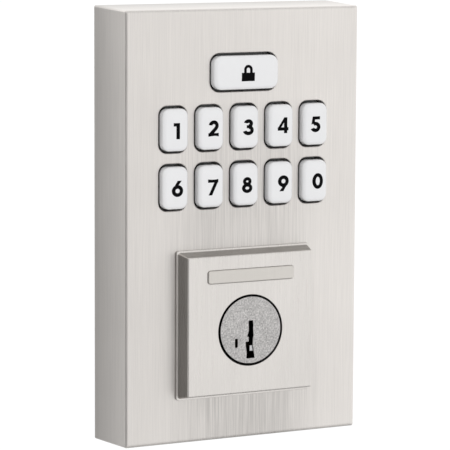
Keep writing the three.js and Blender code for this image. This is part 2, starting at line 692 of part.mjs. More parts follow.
// The half-round blade that drives the latch, on a disc held to the plug's back.
function torqueBlade() {
  const disc = rod(BLADE_DISC.radius, BLADE_DISC.y, [0, 0], { sides: 32 });
  const inDisc = (BLADE_DISC.y[0] + BLADE_DISC.y[1]) / 2;
  const blade = plate(BLADE_SECTION.map(([x, z]) => new THREE.Vector2(x, z)), [inDisc, BLADE_END_Y]);
  const holes = BLADE_SCREW.at.map((at) => (
    rod(BLADE_SCREW.hole, eased(BLADE_DISC.y, 1), at, { sides: SMALL_SIDES })
  ));
  return cut(joined(disc, blade), ...holes);
}

function bladeScrew(at) {
  const seat = BLADE_DISC.y[1] + FIT;
  return joined(
    rod(BLADE_SCREW.head, [seat, seat + BLADE_SCREW.headThick], at, { sides: 16 }),
    rod(BLADE_SCREW.shank, [BLADE_SCREW.tipY, seat + 2 * FIT], at, { sides: SMALL_SIDES }),
  );
}

// A round standoff seated in the housing, tapped from behind for the bolt through the door.
function mountingPost(at) {
  const seat = POST_BOSS.end + FIT;
  const post = rod(POST_RADIUS, [seat, POST_END_Y], at);
  const spigot = rod(POST_SPIGOT.radius, [POST_SPIGOT.tipY, seat + 1], at);
  return cut(joined(post, spigot), rod(POST_TAP_RADIUS, [0, POST_END_Y + REACH], at));
}

place('front_housing', frontHousing(), 'nickel');
place('cylinder_trim', cylinderTrim(), 'nickel');
place('name_badge', nameBadge(), 'faceNickel');
KEYS.forEach((key) => place(key.name, keyCap(key), 'cap'));
place('keypad_membrane', keypadMembrane(), 'silicone');
place('circuit_board', circuitBoard(), 'board');
place('control_chip', controlChip(), 'black');
place('sounder', sounder(), 'black');
place('cable_header', cableHeader(), 'black');
place('status_lamp_left', statusLamp(-LAMP.x), 'lamp');
place('status_lamp_right', statusLamp(LAMP.x), 'lamp');
place('back_plate', backPlate(), 'zinc');
PLATE_SCREWS.forEach((at, i) => place(`back_plate_screw_${i + 1}`, plateScrew(at), 'steel'));
place('weather_gasket', weatherGasket(), 'foam');
place('cylinder_housing', cylinderHousing(), 'zinc');
CYLINDER_SCREWS.forEach((at, i) => place(`cylinder_screw_${i + 1}`, cylinderScrew(at), 'steel'));
POSTS.forEach((at, i) => place(`mounting_post_${i === 0 ? 'left' : 'right'}`, mountingPost(at), 'steel'));
place('key_plug', keyPlug(), 'faceNickel');
place('keyway_guard', block(GUARD.x, GUARD.y, GUARD.z), 'steel');
PIN_YS.forEach((y, i) => {
  place(`key_pin_${i + 1}`, keyPin(y), 'brass');
  place(`rack_${i + 1}`, rack(y, GATE_HEIGHTS[i]), 'steel');
  place(`pin_spring_${i + 1}`, coil({
    ...PIN_SPRING,
    along: 'z',
    from: STEM_Z[1] + FIT,
    to: SPRING_TOP_Z,
    centre: [(STEM_X[0] + STEM_X[1]) / 2, y],
  }), 'steel');
});
place('pin_cover', pinCover(), 'brass');
place('sidebar', sidebar(), 'brass');
SIDEBAR_SPRING_YS.forEach((y, i) => (
  place(`sidebar_spring_${i + 1}`, coil({ ...SIDEBAR_SPRING, along: 'x', centre: [y, 0] }), 'steel')
));
place('rekey_carrier', block(CARRIER.x, CARRIER.y, CARRIER.z), 'brass');
place('carrier_spring', coil({ ...CARRIER_SPRING, along: 'y', from: CARRIER.y[1] + FIT }), 'steel');
place('cylinder_clip', cylinderClip(), 'steel');
place('torque_blade', torqueBlade(), 'steel');
BLADE_SCREW.at.forEach((at, i) => place(`blade_screw_${i + 1}`, bladeScrew(at), 'steel'));

export default lock;
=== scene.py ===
"""Keypad smart lock, outdoor half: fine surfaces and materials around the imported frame.

Shapes are made in millimetres and become metres as each mesh is made. X is to the right as the lock is faced,
+Y runs into the door and +Z is up.
"""

import json
import math

import bmesh
import bpy
from mathutils import Matrix, Vector
from mathutils.bvhtree import BVHTree
from mathutils.geometry import delaunay_2d_cdt, tessellate_polygon


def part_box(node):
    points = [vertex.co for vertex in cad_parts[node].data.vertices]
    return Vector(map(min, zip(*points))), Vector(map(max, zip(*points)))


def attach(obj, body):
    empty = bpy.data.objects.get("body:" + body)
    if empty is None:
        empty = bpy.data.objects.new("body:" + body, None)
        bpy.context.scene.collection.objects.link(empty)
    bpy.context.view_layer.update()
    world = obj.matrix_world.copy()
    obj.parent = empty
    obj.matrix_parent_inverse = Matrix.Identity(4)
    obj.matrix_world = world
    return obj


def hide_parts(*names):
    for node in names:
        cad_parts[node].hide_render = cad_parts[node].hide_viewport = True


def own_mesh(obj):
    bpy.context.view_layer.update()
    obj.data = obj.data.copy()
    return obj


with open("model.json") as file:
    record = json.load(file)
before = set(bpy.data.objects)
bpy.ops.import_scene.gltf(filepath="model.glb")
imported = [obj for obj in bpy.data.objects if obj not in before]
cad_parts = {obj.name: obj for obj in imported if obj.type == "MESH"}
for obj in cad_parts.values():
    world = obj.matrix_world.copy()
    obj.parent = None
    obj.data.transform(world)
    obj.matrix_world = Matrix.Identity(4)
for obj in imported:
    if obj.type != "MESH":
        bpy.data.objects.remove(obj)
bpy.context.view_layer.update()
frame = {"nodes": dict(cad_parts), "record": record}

# ---------------------------------------------------------------- sizes in millimetres

MM = 0.001
FIT = 0.1  # clearance between pieces that rest on or slide along each other

DRAFT = 0.62  # how much further out the housing's sides are at the door than at the front
HOUSING_CORNER = 0.5
HOUSING_EDGE = {"inset": 1.0, "drop": 0.45}  # a quarter ellipse
REAR_EDGE = 0.2
FRONT_WALL = 2.5
SIDE_WALL = 2.1
WINDOW_EDGE = 0.3
KEY_CORNER = 2.45
LOCK_CORNER = 2.8

CAP_GAP = 0.45
CAP_GAP_Z = 0.65
CAP_EDGE = 1.2
CAP_CROWN = 0.22
CAP_FLANGE = 0.5
CAP_FLANGE_THICK = 1.0
CAP_FLANGE_EDGE = 0.15
CROWN_STEPS = 8
CAP_TRAVEL = 1.2

TRIM_FOOT = {"wide": 0.47, "thick": 0.6, "round": 0.1}
TRIM_TAPER = 0.92
TRIM_EDGE = 0.35
TRIM_CORNER = 0.8
TRIM_BORE = 9.7
TRIM_BORE_EDGE = 0.12
TRIM_BORE_AT = (-0.05, -0.06)  # the bore sits a hair to the left of the plug and below it
BARREL_BORE = 12.3
TRIM_LIP = 1.5
BADGE_CORNER = 0.8
BADGE_EDGE = 0.3

SCREW_BOSS = {"radius": 3.2, "hole": 1.45, "hole_end": -13.2}
POST_BOSS = {"radius": 5.0, "end": -9.0, "hole": 2.7, "hole_end": -14.7}
BOARD_POST_RADIUS = 1.6
TRIM_SCREW_HOLE = 1.6
TRIM_SCREW_HOLE_END = -21.4

PLATE_THICK = 1.6
PLATE_EDGE = 0.2
PLATE_CORNER = 1.0
PLATE_LEG = 1.8
PLATE_SCREW = {"core": 1.05, "crest": 1.28, "turns": 12}
PUNCH_EDGE = 0.15
BARREL_CLEARANCE = 0.4
OUTLET_WIDTH = 14
OUTLET_HEIGHT = 7
OUTLET_CORNER = 1.5
OUTLET_Z = 18.5
GASKET_WIDTH = 4.0
GASKET_ROUND = 0.55

BARREL_RADIUS = 12.0
BARREL_WALL_BORE = 9.18
GROOVE = {"half": 1.2, "floor": 9.75, "floor_half": 0.12}  # for the locking bar
LOBE = {"half_width": 9.0, "from_z": 7.9, "corner": 6}
FLANGE_FRONT = -15.7  # places named front, back, end or shoulder are depths along Y
FLANGE_BACK = -13.2
POST_RADIUS = 4.0
POST_SHOULDER = -8.9
POST_THREAD = {"crest": 1.75, "root": 2.1, "pitch": 0.7, "deep": 0.8}
CLIP_OPENING = 0.45
CLIP_INNER = 7.95
CLIP_EDGE = 0.15
BLADE_DISC_END = 4.5
BLADE_DISC_RADIUS = 6.8
BLADE_DISC_EDGE = 0.25
BLADE_HOLE = 0.85
BLADE = {"half_width": 3.1, "underside": -1.5, "back": -0.85, "rise": 2.4}

SHEET_BACK = -12.1
SHEET_FRONT = -12.9
SHEET_EDGE = 0.15
LAMP_ROOM = 1.2
DOME_BASE = 3.3
DOME_TOP = 2.4
DOME_WALL = 0.6
DOME_FRONT = -14.6
PILL_RADIUS = 1.1

SPRING_WIRES = {0: 0.14, 1: 0.2, 2: 0.18}  # by the axis that the spring lies along

W = 1.53  # half a digit's width and height
H = 2.08
DIGIT_STRETCH = Vector((1.1, 1.03))
LEGEND_AT = {  # how far to the right and up each mark is printed from its cap's centre
    "lock": (0.15, 0), "1": (0, -0.2), "2": (0.4, 0.1), "3": (0.35, 0), "4": (0.3, 0.1), "5": (-0.3, 0),
    "6": (0.25, -0.1), "7": (0.3, -0.2), "8": (0, -0.1), "9": (0.5, -0.15), "0": (0.55, -0.05),
}
STROKE = 0.95
INK_PROUD = 0.03
INK_GRID = 0.3

WALL_SHADE = 0.61  # painted shade: how much light the trim's flat walls keep
FACE_ENDS = (-17.9, -17.3)  # the depths between which the housing's face becomes its sides
# Painted shade in the column above and below the trim: its edge's wander, its shade at two heights, and where
# it ends.
PAINTED_TRIM_SHADE = {"wander": 0.8, "shade": (0.14, 0.1), "at": (-18, 22), "ends": (48, 62)}
PAINTED_SIDE_LIGHT = (0.08, -0.24)  # painted light and shade: how much brighter the sides are in front and at the door
PAINTED_FACE_LIGHT = (0.955, 1.015)  # painted shade and light: how bright the housing is at its left and right edges


def span(node):
    """A CAD node's lowest and highest corners at rest, in millimetres."""
    low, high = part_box(node)
    return Vector(low) / MM, Vector(high) / MM


def middle(node):
    low, high = span(node)
    return (low + high) / 2


def measures(node):
    """A node's corners and centre, and its width and height as the lock is faced."""
    low, high = span(node)
    return low, high, (low + high) / 2, high.x - low.x, high.z - low.z


# ---------------------------------------------------------------- shapes

def on_circle(radius, turns, x=0.0, z=0.0):
    return [(x + radius * math.cos(turn), z + radius * math.sin(turn)) for turn in turns]


def rounded(width, height, radius, x=0.0, z=0.0, steps=8):
    """A rounded rectangle's outline in X and Z."""
    points = []
    for corner in range(4):
        side_x = 1 if corner in (0, 3) else -1
        side_z = 1 if corner < 2 else -1
        turns = [(corner + step / steps) * math.pi / 2 for step in range(steps + 1)]
        at_x = x + side_x * (width / 2 - radius)
        at_z = z + side_z * (height / 2 - radius)
        points += on_circle(radius, turns, at_x, at_z)
    return points


def circle(radius, x=0.0, z=0.0, steps=64):
    return on_circle(radius, [2 * math.pi * step / steps for step in range(steps)], x, z)


def disc(radius, x=0.0, z=0.0, steps=64):
    """A circle's outline for each inset."""
    return lambda inset: circle(radius - inset, x, z, steps)


def block(width, height, radius, x=0.0, z=0.0, ease=0.0, least=0.0):
    """A rounded rectangle's outline for each inset. Its corner loses a share, ease, of the inset."""
    half = min(width, height) / 2

    def outline(inset):
        corner = min(max(radius - ease * inset, least), half - inset - 1e-3)
        return rounded(width - 2 * inset, height - 2 * inset, corner, x, z)

    return outline


def round_edge(radius, steps=5):
    """A quarter round from a side to a face, as pairs of inset from the side and drop from the face."""
    turns = [math.pi / 2 * step / steps for step in range(steps + 1)]
    return [(radius * (1 - math.cos(turn)), radius * (1 - math.sin(turn))) for turn in turns]


def slab(front, back, radius):
    """The levels, as pairs of inset and Y, of a plate with rounded edges in front and behind."""
    edge = round_edge(radius, 3)
    levels = [(inset, front + drop) for inset, drop in reversed(edge)]
    return levels + [(inset, back - drop) for inset, drop in edge]


class Shape:
    """Points in millimetres and the faces between them, gathered ring by ring."""

    def __init__(self):
        self.points = []
        self.faces = []

    def ring(self, outline, y):
        first = len(self.points)
        self.points += [(x, y, z) for x, z in outline]
        return list(range(first, len(self.points)))

    def wall(self, *rings):
        """Joins rings that have the same number of points, one to the next."""
        for a, b in zip(rings, rings[1:]):
            for i, corner in enumerate(a):
                j = (i + 1) % len(a)
                self.faces.append((corner, a[j], b[j], b[i]))

    def flat(self, outer, *holes):
        """Fills a ring, apart from the holes in it."""
        rings = [outer, *holes]
        loops = [[Vector((self.points[i][0], self.points[i][2], 0)) for i in ring] for ring in rings]
        index = [i for ring in rings for i in ring]
        self.faces += [tuple(index[i] for i in face) for face in tessellate_polygon(loops)]

    def stack(self, outline, levels):
        """Joins the outlines at some levels, each an inset and a Y; gives the first ring and the last."""
        rings = [self.ring(outline(inset), y) for inset, y in levels]
        self.wall(*rings)
        return rings[0], rings[-1]

    def tunnel(self, outline, start, end):
        """A straight wall from one Y to another; gives its two rings."""
        return self.stack(lambda _: outline, [(0, start), (0, end)])

    def pit(self, outline, start, end):
        """A straight hole with a flat end; gives the ring of its mouth."""
        mouth, base = self.tunnel(outline, start, end)
        self.flat(base)
        return mouth

    def lathe(self, profile, x=0.0, z=0.0, steps=64):
        """A round wall along Y through pairs of radius and Y; gives its two end rings."""
        return self.stack(lambda radius: circle(max(radius, 1e-3), x, z, steps), profile)

    def turned(self, profile, x=0.0, z=0.0, steps=64):
        for end in self.lathe(profile, x, z, steps):
            self.flat(end)

    def tube(self, path, radius, sides=8):
        """A round wire along a list of points."""
        rings = []
        for i, point in enumerate(path):
            ahead = path[min(i + 1, len(path) - 1)] - path[max(i - 1, 0)]
            side = ahead.cross(Vector((0.3, 0.5, 0.8))).normalized()
            rise = ahead.cross(side).normalized()
            first = len(self.points)
            self.points += [point + side * a + rise * b for a, b in circle(radius, steps=sides)]
            rings.append(list(range(first, len(self.points))))
        self.wall(*rings)
        self.faces += [tuple(rings[0]), tuple(rings[-1])]


def new_object(name, mesh, material):
    mesh.materials.append(material)
    obj = bpy.data.objects.new(name, mesh)
    bpy.context.collection.objects.link(obj)
    return obj


def piece(name, shape, body, slot, replaces=(), sharp=35, look=None):
    """Makes a shape into an object that rides a body, in its slot's look unless it has its own."""
    mesh = bpy.data.meshes.new(name)
    mesh.from_pydata([Vector(point) * MM for point in shape.points], [], shape.faces)
    work = bmesh.new()
    work.from_mesh(mesh)
    bmesh.ops.remove_doubles(work, verts=work.verts, dist=1e-7)
    bmesh.ops.recalc_face_normals(work, faces=work.faces)
    work.to_mesh(mesh)
    work.free()
    mesh.polygons.foreach_set("use_smooth", [True] * len(mesh.polygons))
    mesh.set_sharp_from_angle(angle=math.radians(sharp))
    obj = new_object(name, mesh, LOOKS[look or slot])
    weighted = obj.modifiers.new("weighted normals", "WEIGHTED_NORMAL")
    weighted.keep_sharp = True
    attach(obj, body)
    if replaces:
        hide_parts(*replaces)
    return obj


# ---------------------------------------------------------------- materials

class Look:
    """A Principled material and the nodes that feed it."""

    def __init__(self, name, color, roughness, metallic=0.0, **fixed):
        self.material = bpy.data.materials.new(name)
        self.material.use_nodes = True
        self.tree = self.material.node_tree
        self.shader = self.tree.nodes["Principled BSDF"]
        self.color = color
        self.shader.inputs["Base Color"].default_value = (*color, 1)
        self.shader.inputs["Roughness"].default_value = roughness
        self.shader.inputs["Metallic"].default_value = metallic
        for label, value in fixed.items():
            self.shader.inputs[label.replace("_", " ")].default_value = value
        self.place = self.tree.nodes.new("ShaderNodeTexCoord")

    def add(self, kind, inputs=None, **settings):
        node = self.tree.nodes.new(kind)
        for key, value in settings.items():
            setattr(node, key, value)
        for key, value in (inputs or {}).items():
            if isinstance(value, bpy.types.NodeSocket):
                self.tree.links.new(value, node.inputs[key])
            else:
                node.inputs[key].default_value = value
        return node.outputs[0]

    def feed(self, label, value):
        self.tree.links.new(value, self.shader.inputs[label])

    def grid(self, size):
        """Object coordinates, counted in steps of a size in millimetres along each axis."""
        scale = [1 / (step * MM) for step in size]
        return self.add("ShaderNodeMapping", {"Vector": self.place.outputs["Object"], "Scale": scale})

    def noise(self, size, detail=2.0, roughness=0.5):
        size = size if isinstance(size, tuple) else (size, size, size)
        return self.add("ShaderNodeTexNoise", {
            "Vector": self.grid(size), "Scale": 1.0, "Detail": detail, "Roughness": roughness,
        })

    def math(self, operation, a, b=0.0):
        return self.add("ShaderNodeMath", {0: a, 1: b}, operation=operation)

    def times(self, a, b):
        return self.math("MULTIPLY", a, b)

    def spread(self, value, low, high, source=(0.3, 0.7)):
        """Stretches a value from a source range to another one."""
        return self.add("ShaderNodeMapRange", {
            "Value": value, "From Min": source[0], "From Max": source[1], "To Min": low, "To Max": high,
        })

    def blend(self, factor, a, b):
        """A number between two numbers."""
        return self.add("ShaderNodeMix", {"Factor": factor, "A": a, "B": b}, data_type="FLOAT")

    def tint(self, value, dark, light):
        """Colours the surface between two shares of its base colour."""
        mix = self.tree.nodes.new("ShaderNodeMix")
        mix.data_type = "RGBA"
        self.tree.links.new(value, mix.inputs["Factor"])
        mix.inputs[6].default_value = (*(dark * channel for channel in self.color), 1)
        mix.inputs[7].default_value = (*(light * channel for channel in self.color), 1)
        self.feed("Base Color", mix.outputs[2])

    def bumps(self, *layers):
        """Raises the surface by layers of height, each with its depth in millimetres."""
        normal = None
        for height, depth in layers:
            inputs = {"Height": height, "Distance": depth * MM, "Strength": 1.0}
            if normal is not None:
                inputs["Normal"] = normal
            normal = self.add("ShaderNodeBump", inputs)
        self.feed("Normal", normal)

    def separate(self, vector):
        parts = self.tree.nodes.new("ShaderNodeSeparateXYZ")
        self.tree.links.new(vector, parts.inputs[0])
        return parts.outputs

    def place_ramp(self, axis, low, high, start, end):
        """Goes from one value to another between two places along an axis, in millimetres."""
        place = self.separate(self.place.outputs["Object"])[axis]
        return self.spread(place, low, high, (start * MM, end * MM))

    def facing(self, axis):
        """How squarely the surface faces along an axis, either way."""
        return self.math("ABSOLUTE", self.separate(self.place.outputs["Normal"])[axis])

    def brush(self, across, along, detail=2.0):
        """Brush lines that run up and down, or from left to right where the surface faces up."""
        upright = self.noise((across, across, along), detail)
        level = self.noise((along, across, across), detail)
        return self.blend(self.math("GREATER_THAN", self.facing("Z"), 0.7), upright, level)


def brushed_metal(name, color, roughness, lines=1.0, column=None, shaded_walls=None):
    """Brushed metal. Flat walls between two depths carry painted shade, and the rounded corners between them
    are spared it, so they show as a painted highlight. Where a trim stands on the surface, the column above
    and below it is streakier, and darker with painted shade; the sides then carry painted light in front and
    painted shade at the door, and the whole surface painted shade on the left and painted light on the right.
    """
    look = Look(name, color, roughness, 1.0)
    hairs = look.brush(0.22, 14, 3)
    bands = look.brush(0.8, 45)
    cloud = look.noise(26, 2)
    shade = look.spread(look.blend(0.25, look.blend(0.25, hairs, bands), cloud), -1, 1, (0.36, 0.64))
    streak = 0.05 * lines
    if column:
        # Painted shade: a column above and below the trim is darkened, with stronger streaks in it.
        wander = look.spread(bands, -PAINTED_TRIM_SHADE["wander"] * MM, PAINTED_TRIM_SHADE["wander"] * MM)
        across = look.math("ABSOLUTE", look.separate(look.place.outputs["Object"])["X"])
        inside = look.spread(look.math("ADD", across, wander), 1, 0, (column[0] * MM, column[1] * MM))
        painted_trim_shade = look.times(inside, look.place_ramp("Z", *PAINTED_TRIM_SHADE["shade"], *PAINTED_TRIM_SHADE["at"]))
        painted_trim_shade = look.times(painted_trim_shade, look.place_ramp("Z", 1, 0, *PAINTED_TRIM_SHADE["ends"]))
        face = look.place_ramp("Y", 1, 0, *FACE_ENDS)
        painted_trim_shade = look.times(painted_trim_shade, face)
        wave = look.times(shade, look.spread(painted_trim_shade, streak, 3 * streak, (0, 0.15)))
        level = look.math("SUBTRACT", look.math("ADD", wave, 1), painted_trim_shade)
        # Painted light and shade on the sides: brighter in front, darker towards the door.
        painted_side_light = look.times(look.place_ramp("Y", *PAINTED_SIDE_LIGHT, -17, 0), look.math("SUBTRACT", 1, face))
        level = look.times(level, look.math("ADD", painted_side_light, 1))
        # Painted shade and light across the housing: darker at the left, lighter at the right.
        level = look.times(level, look.place_ramp("X", *PAINTED_FACE_LIGHT, -35, 35))
    else:
        level = look.math("ADD", look.times(shade, streak), 1)
    if shaded_walls:
        # Painted shade on the trim's flat walls; the rounded corners are spared, so they show as a painted
        # highlight.
        front, back = shaded_walls
        painted_wall_shade = look.times(look.place_ramp("Y", 0, 1, front, front + 0.15),
                            look.place_ramp("Y", 1, 0, back - 0.15, back))
        flank = look.math("MAXIMUM", look.facing("X"), look.facing("Z"))
        painted_wall_shade = look.times(painted_wall_shade, look.spread(flank, 0, 1, (0.78, 0.95)))
        level = look.times(level, look.spread(painted_wall_shade, 1, WALL_SHADE, (0, 1)))
    look.tint(look.times(level, 0.5), 0, 2)
    look.feed("Roughness", look.spread(hairs, roughness - 0.05, roughness + 0.06))
    look.bumps((hairs, 0.006 * lines), (bands, 0.004 * lines))
    return look.material


def blasted_metal(name, color, face_y, rear_y):
    """Grainy metal with painted shade: its sides and slots are painted near black between two depths."""
    look = Look(name, color, 0.5, 1.0)
    grain = look.noise(0.42, 3, 0.7)
    patches = look.noise(1.6, 2)
    # Painted shade: near black between the face and the rear, on the plug's sides and in its keyway.
    outside_painted_shade = look.math("MAXIMUM", look.place_ramp("Y", 1, 0, face_y, face_y + 0.12),
                      look.place_ramp("Y", 0, 1, rear_y, rear_y + 0.5))
    speckle = look.spread(look.blend(0.15, grain, patches), 0.4, 1, (0.37, 0.63))
    look.tint(look.times(speckle, outside_painted_shade), 0.02, 1.32)
    look.feed("Roughness", look.spread(grain, 0.42, 0.6))
    look.bumps((grain, 0.05))
    return look.material


def gloss_plastic(name, color, gap_shade_y):
    """White plastic, painted near black behind a given Y as shade in the gaps around the cap."""
    look = Look(name, color, 0.2, Coat_Weight=0.25, Coat_Roughness=0.08)
    flow = look.noise(5, 2)
    dust = look.noise(0.35, 3, 0.6)
    # Painted shade: the cap's sides behind the given Y are near black, where they sit in the gap.
    outside_painted_shade = look.place_ramp("Y", 1, 0, gap_shade_y - 0.15, gap_shade_y + 0.15)
    look.tint(look.times(look.spread(flow, 0.985, 1.0), outside_painted_shade), 0.02, 1.0)
    look.feed("Roughness", look.spread(dust, 0.17, 0.26))
    look.bumps((flow, 0.012), (dust, 0.0015))
    return look.material


def grained(name, color, roughness, grain, tones, finish, depth, metallic=0.0, **fixed):
    """A material with one grain in its colour, its roughness and its height."""
    look = Look(name, color, roughness, metallic, **fixed)
    level = look.noise(*grain)
    look.tint(look.spread(level, 0, 1), *tones)
    look.feed("Roughness", look.spread(level, *finish))
    look.bumps((level, depth))
    return look.material


def rubber(name, color, roughness, cell):
    look = Look(name, color, roughness)
    cells = look.add("ShaderNodeTexVoronoi", {"Vector": look.grid((cell, cell, cell)), "Scale": 1.0})
    mottle = look.noise(cell * 6, 3)
    look.tint(look.spread(look.blend(0.5, cells, mottle), 0, 1, (0.2, 0.7)), 0.75, 1.3)
    look.feed("Roughness", look.spread(mottle, roughness - 0.08, roughness + 0.08))
    look.bumps((cells, cell * 0.2))
    return look.material


def circuit_resist(name, color):
    look = Look(name, color, 0.35)
    tracks = look.add("ShaderNodeTexBrick", {
        "Vector": look.grid((1.0, 1.0, 1.0)), "Scale": 0.35, "Mortar Size": 0.06, "Mortar Smooth": 0.2,
        "Color1": (1, 1, 1, 1), "Color2": (0.8, 0.8, 0.8, 1), "Mortar": (0, 0, 0, 1),
    })
    weave = look.noise(0.5, 3)
    look.tint(look.spread(look.blend(0.35, tracks, weave), 0, 1, (0.0, 1.0)), 0.6, 1.25)
    look.feed("Roughness", look.spread(weave, 0.28, 0.44))
    look.bumps((tracks, 0.03), (weave, 0.006))
    return look.material


def turned_metal(name, color, roughness):
    look = Look(name, color, roughness, 1.0)
    fine = look.noise((0.25, 0.1, 0.25), 3)
    stain = look.noise(4, 3)
    look.tint(look.spread(look.blend(0.5, fine, stain), 0, 1, (0.36, 0.64)), 0.86, 1.1)
    look.feed("Roughness", look.spread(fine, roughness - 0.08, roughness + 0.1))
    look.bumps((fine, 0.01))
    return look.material


def plated_sheet(name, color):
    look = Look(name, color, 0.42, 1.0)
    crystals = look.add("ShaderNodeTexVoronoi", {"Vector": look.grid((3.2, 3.2, 3.2)), "Scale": 1.0})
    rolled = look.noise((0.3, 0.3, 20), 3)
    haze = look.noise(9, 3)
    look.tint(look.spread(look.blend(0.5, crystals, haze), 0, 1, (0.2, 0.8)), 0.82, 1.12)
    look.feed("Roughness", look.spread(look.blend(0.5, rolled, haze), 0.33, 0.52))
    look.bumps((rolled, 0.008), (haze, 0.03))
    return look.material


LOOKS = {
    "satin_nickel": brushed_metal("satin_nickel", (0.705, 0.677, 0.648), 0.3, 1.25, shaded_walls=(-22.9, -18.95)),
    "housing_nickel": brushed_metal("housing_nickel", (0.742, 0.711, 0.681), 0.37, 1.25, column=(11, 24)),
    "badge_nickel": brushed_metal("badge_nickel", (0.645, 0.618, 0.58), 0.36, 0.6),
    "plug_nickel": blasted_metal("plug_nickel", (0.585, 0.57, 0.56), -23.0, -2.0),
    "button_white": gloss_plastic("button_white", (0.75, 0.75, 0.758), -17.7),
    "ink": grained("ink_black", (0.003, 0.003, 0.0035), 0.4, (0.2, 3), (0.7, 1.5), (0.28, 0.42), 0.003,
                   Specular_IOR_Level=0.02),
    "silicone": rubber("silicone_milky", (0.62, 0.64, 0.63), 0.5, 0.4),
    "board_green": circuit_resist("board_green", (0.03, 0.15, 0.07)),
    "black_plastic": grained("black_plastic", (0.018, 0.018, 0.02), 0.5, (0.12, 4, 0.7), (0.8, 1.4),
                             (0.42, 0.6), 0.02),
    "lamp_clear": grained("lamp_clear", (0.85, 0.83, 0.72), 0.12, (0.5, 2), (0.9, 1.05), (0.08, 0.2), 0.01,
                          Transmission_Weight=0.6, IOR=1.5),
    "steel": turned_metal("bright_steel", (0.58, 0.58, 0.585), 0.3),
    "zinc_plate": plated_sheet("zinc_plate", (0.52, 0.53, 0.54)),
    "cast_zinc": grained("cast_zinc", (0.46, 0.465, 0.475), 0.55, (0.7, 4, 0.6), (0.78, 1.15),
                         (0.45, 0.66), 0.06, 1.0),
    "brass": turned_metal("brass", (0.68, 0.5, 0.24), 0.28),
    "foam_black": rubber("foam_black", (0.022, 0.022, 0.024), 0.85, 0.5),
}

# Every CAD node that stays in view takes the look of its own slot.
for part in frame["record"]["subparts"]:
    node = frame["nodes"][part["node"]]
    node.data.materials.clear()
    node.data.materials.append(LOOKS[part["material_slot"]])

# ---------------------------------------------------------------- keys

KEY_NAMES = ["lock", *"1234567890"]


def key_opening(key):
    """The window that a key stands in: its centre, width, height and corner radius."""
    _, _, centre, width, height = measures(f"button_{key}")
    corner = LOCK_CORNER if key == "lock" else KEY_CORNER
    return centre.x, centre.z, width - 2 * CAP_FLANGE, height - 2 * CAP_FLANGE, corner


# ---------------------------------------------------------------- places shared by several pieces

def centres(pattern, names):
    """Where a row of repeated nodes stands, in X and Z."""
    spots = [middle(pattern.format(name)) for name in names]
    return [(spot.x, spot.z) for spot in spots]


PLATE_SCREWS = centres("back_plate_screw_{}", (1, 2, 3, 4))
CYLINDER_SCREWS = centres("cylinder_screw_{}", (1, 2))
BLADE_SCREWS = centres("blade_screw_{}", (1, 2))
POSTS = centres("mounting_post_{}", ("left", "right"))
BOARD_POSTS = [(x, z) for x in (-27.6, 27.6) for z in (22.5, 74.5)]
BOARD_FRONT = span("circuit_board")[0].y
BOSS_END = span("back_plate")[1].y - PLATE_THICK - FIT

# ---------------------------------------------------------------- housing and trim

def housing():
    low, high, centre, width, height = measures("front_housing")
    front = low.y
    inner_front = front + FRONT_WALL
    depth = high.y - low.y
    shape = Shape()
    side_inset = DRAFT * (depth - HOUSING_EDGE["drop"]) / depth
    across = DRAFT - side_inset + HOUSING_EDGE["inset"]
    levels = [(inset, high.y - drop) for inset, drop in reversed(round_edge(REAR_EDGE, 3))]
    levels += [(side_inset + inset * across, front + drop * HOUSING_EDGE["drop"])
               for inset, drop in round_edge(1, 9)]
    rear, face = shape.stack(block(width, height, HOUSING_CORNER, 0, centre.z), levels)

    holes = []
    edge = [(-drop, front + inset) for inset, drop in round_edge(WINDOW_EDGE, 4)]
    for key in KEY_NAMES:
        x, z, hole_width, hole_height, corner = key_opening(key)
        holes.append(shape.stack(block(hole_width, hole_height, corner, x, z, 1), [*edge, (0, inner_front)]))
    holes.append(shape.tunnel(circle(BARREL_BORE - FIT), front, inner_front))
    holes += [shape.tunnel(circle(TRIM_SCREW_HOLE, *at, 24), front, inner_front) for at in CYLINDER_SCREWS]
    shape.flat(face, *(hole[0] for hole in holes))

    # Bosses stand on the front wall, most of them with a blind hole.
    bosses = [(at, SCREW_BOSS["radius"], BOSS_END, SCREW_BOSS["hole"], SCREW_BOSS["hole_end"])
              for at in PLATE_SCREWS]
    bosses += [(at, *POST_BOSS.values()) for at in POSTS]
    bosses += [(at, BOARD_POST_RADIUS, BOARD_FRONT - FIT) for at in BOARD_POSTS]
    feet = []
    for at, radius, end, *bore in bosses:
        foot, top = shape.tunnel(circle(radius, *at, 40), inner_front, end)
        feet.append(foot)
        mouths = [shape.pit(circle(bore[0], *at, 24), end, bore[1])] if bore else []
        shape.flat(top, *mouths)

    room = rounded(width - 2 * (DRAFT + SIDE_WALL), height - 2 * (DRAFT + SIDE_WALL), 1, 0, centre.z)
    ceiling, mouth = shape.tunnel(room, inner_front, high.y)
    shape.flat(ceiling, *(hole[1] for hole in holes), *feet)
    shape.flat(rear, mouth)
    piece("housing_shell", shape, "lock_body", "satin_nickel", ["front_housing"], look="housing_nickel")


